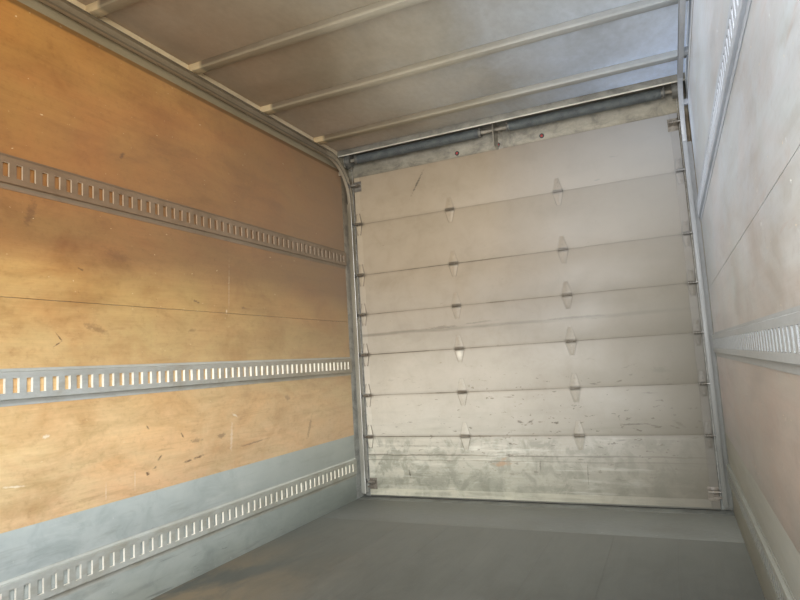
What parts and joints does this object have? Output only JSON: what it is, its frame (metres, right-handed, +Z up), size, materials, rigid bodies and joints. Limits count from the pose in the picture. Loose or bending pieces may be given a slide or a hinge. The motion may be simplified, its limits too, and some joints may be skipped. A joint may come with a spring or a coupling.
{
  "type": "box truck cargo body",
  "caption": "Hollow truck cargo body with plywood-lined walls, slotted logistics rails, roof bows, sills and a closed sectional roll-up rear door.",
  "frame": {"origin": "under the middle of the body's box, in the plane of the undersides of the two long sills", "axes": "+X to the body's right as seen from behind its front wall looking to the rear door, +Y along the body towards the rear door, +Z up"},
  "size_m": [2.523, 4.431, 2.805],
  "materials": {
    "under_steel": "matt black paint",
    "rail_aluminium": "extruded, dull",
    "rear_frame_steel": "galvanised and painted, scuffed",
    "floor_wood": "dark boards, worn smooth",
    "plate_steel": "dark paint, worn smooth",
    "outer_skin": "white paint",
    "lining_plywood": "varnished plywood, worn",
    "scuff_steel": "blue-grey, scuffed",
    "rail_steel": "galvanised, dull",
    "bow_steel": "light grey, dull",
    "roof_aluminium": "mill finish",
    "door_paint": "cream paint, dirty",
    "zinc_steel": "zinc plated, dull",
    "roller_steel": "worn, greasy",
    "spring_steel": "oiled black",
    "cast_aluminium": "cast, dull",
    "cable_steel": "stranded steel",
    "seal_rubber": "black",
    "red_lens": "ribbed lens",
    "clear_lens": "ribbed lens",
    "amber_lens": "ribbed lens",
    "bumper_rubber": "black, scuffed"
  },
  "bodies": {
    "root": {"long_sills": "under_steel", "crossmembers": "under_steel", "front_sill": "rail_aluminium", "rear_sill": "rear_frame_steel", "floor_boards": "floor_wood", "threshold_plate": "plate_steel", "bottom_rails": "rail_aluminium", "side_wall_right": "outer_skin", "side_wall_left": "outer_skin", "plywood_lining_right": "lining_plywood", "plywood_lining_left": "lining_plywood", "scuff_plates": "scuff_steel", "logistics_rails_right": "rail_steel", "logistics_rails_left": "rail_steel", "roof_rails": "rail_aluminium", "roof_bows": "bow_steel", "roof_sheet": "roof_aluminium", "front_wall": "outer_skin", "front_lining": "lining_plywood", "front_corner_posts": "rail_aluminium", "corner_caps": "rail_aluminium", "front_top_rail": "rail_aluminium", "rear_post_right": "rear_frame_steel", "rear_post_left": "rear_frame_steel", "rear_header": "rear_frame_steel", "door_panel_1": "door_paint", "door_panel_2": "door_paint", "door_panel_3": "door_paint", "door_panel_4": "door_paint", "door_panel_5": "door_paint", "door_panel_6": "door_paint", "door_panel_7": "door_paint", "door_edge_caps": "door_paint", "centre_hinges": "zinc_steel", "end_hinges": "zinc_steel", "rollers": "roller_steel", "door_track_right": "zinc_steel", "door_track_left": "zinc_steel", "spring_shaft": "zinc_steel", "counter_springs": "spring_steel", "cable_drums": "cast_aluminium", "bearing_plates": "zinc_steel", "lift_cables": "cable_steel", "corner_fixtures": "zinc_steel", "door_seals": "seal_rubber", "door_latch": "zinc_steel", "red_lamps": "red_lens", "reversing_lamps": "clear_lens", "amber_lamps": "amber_lens", "dock_bumpers": "bumper_rubber"}
  },
  "joints": []
}
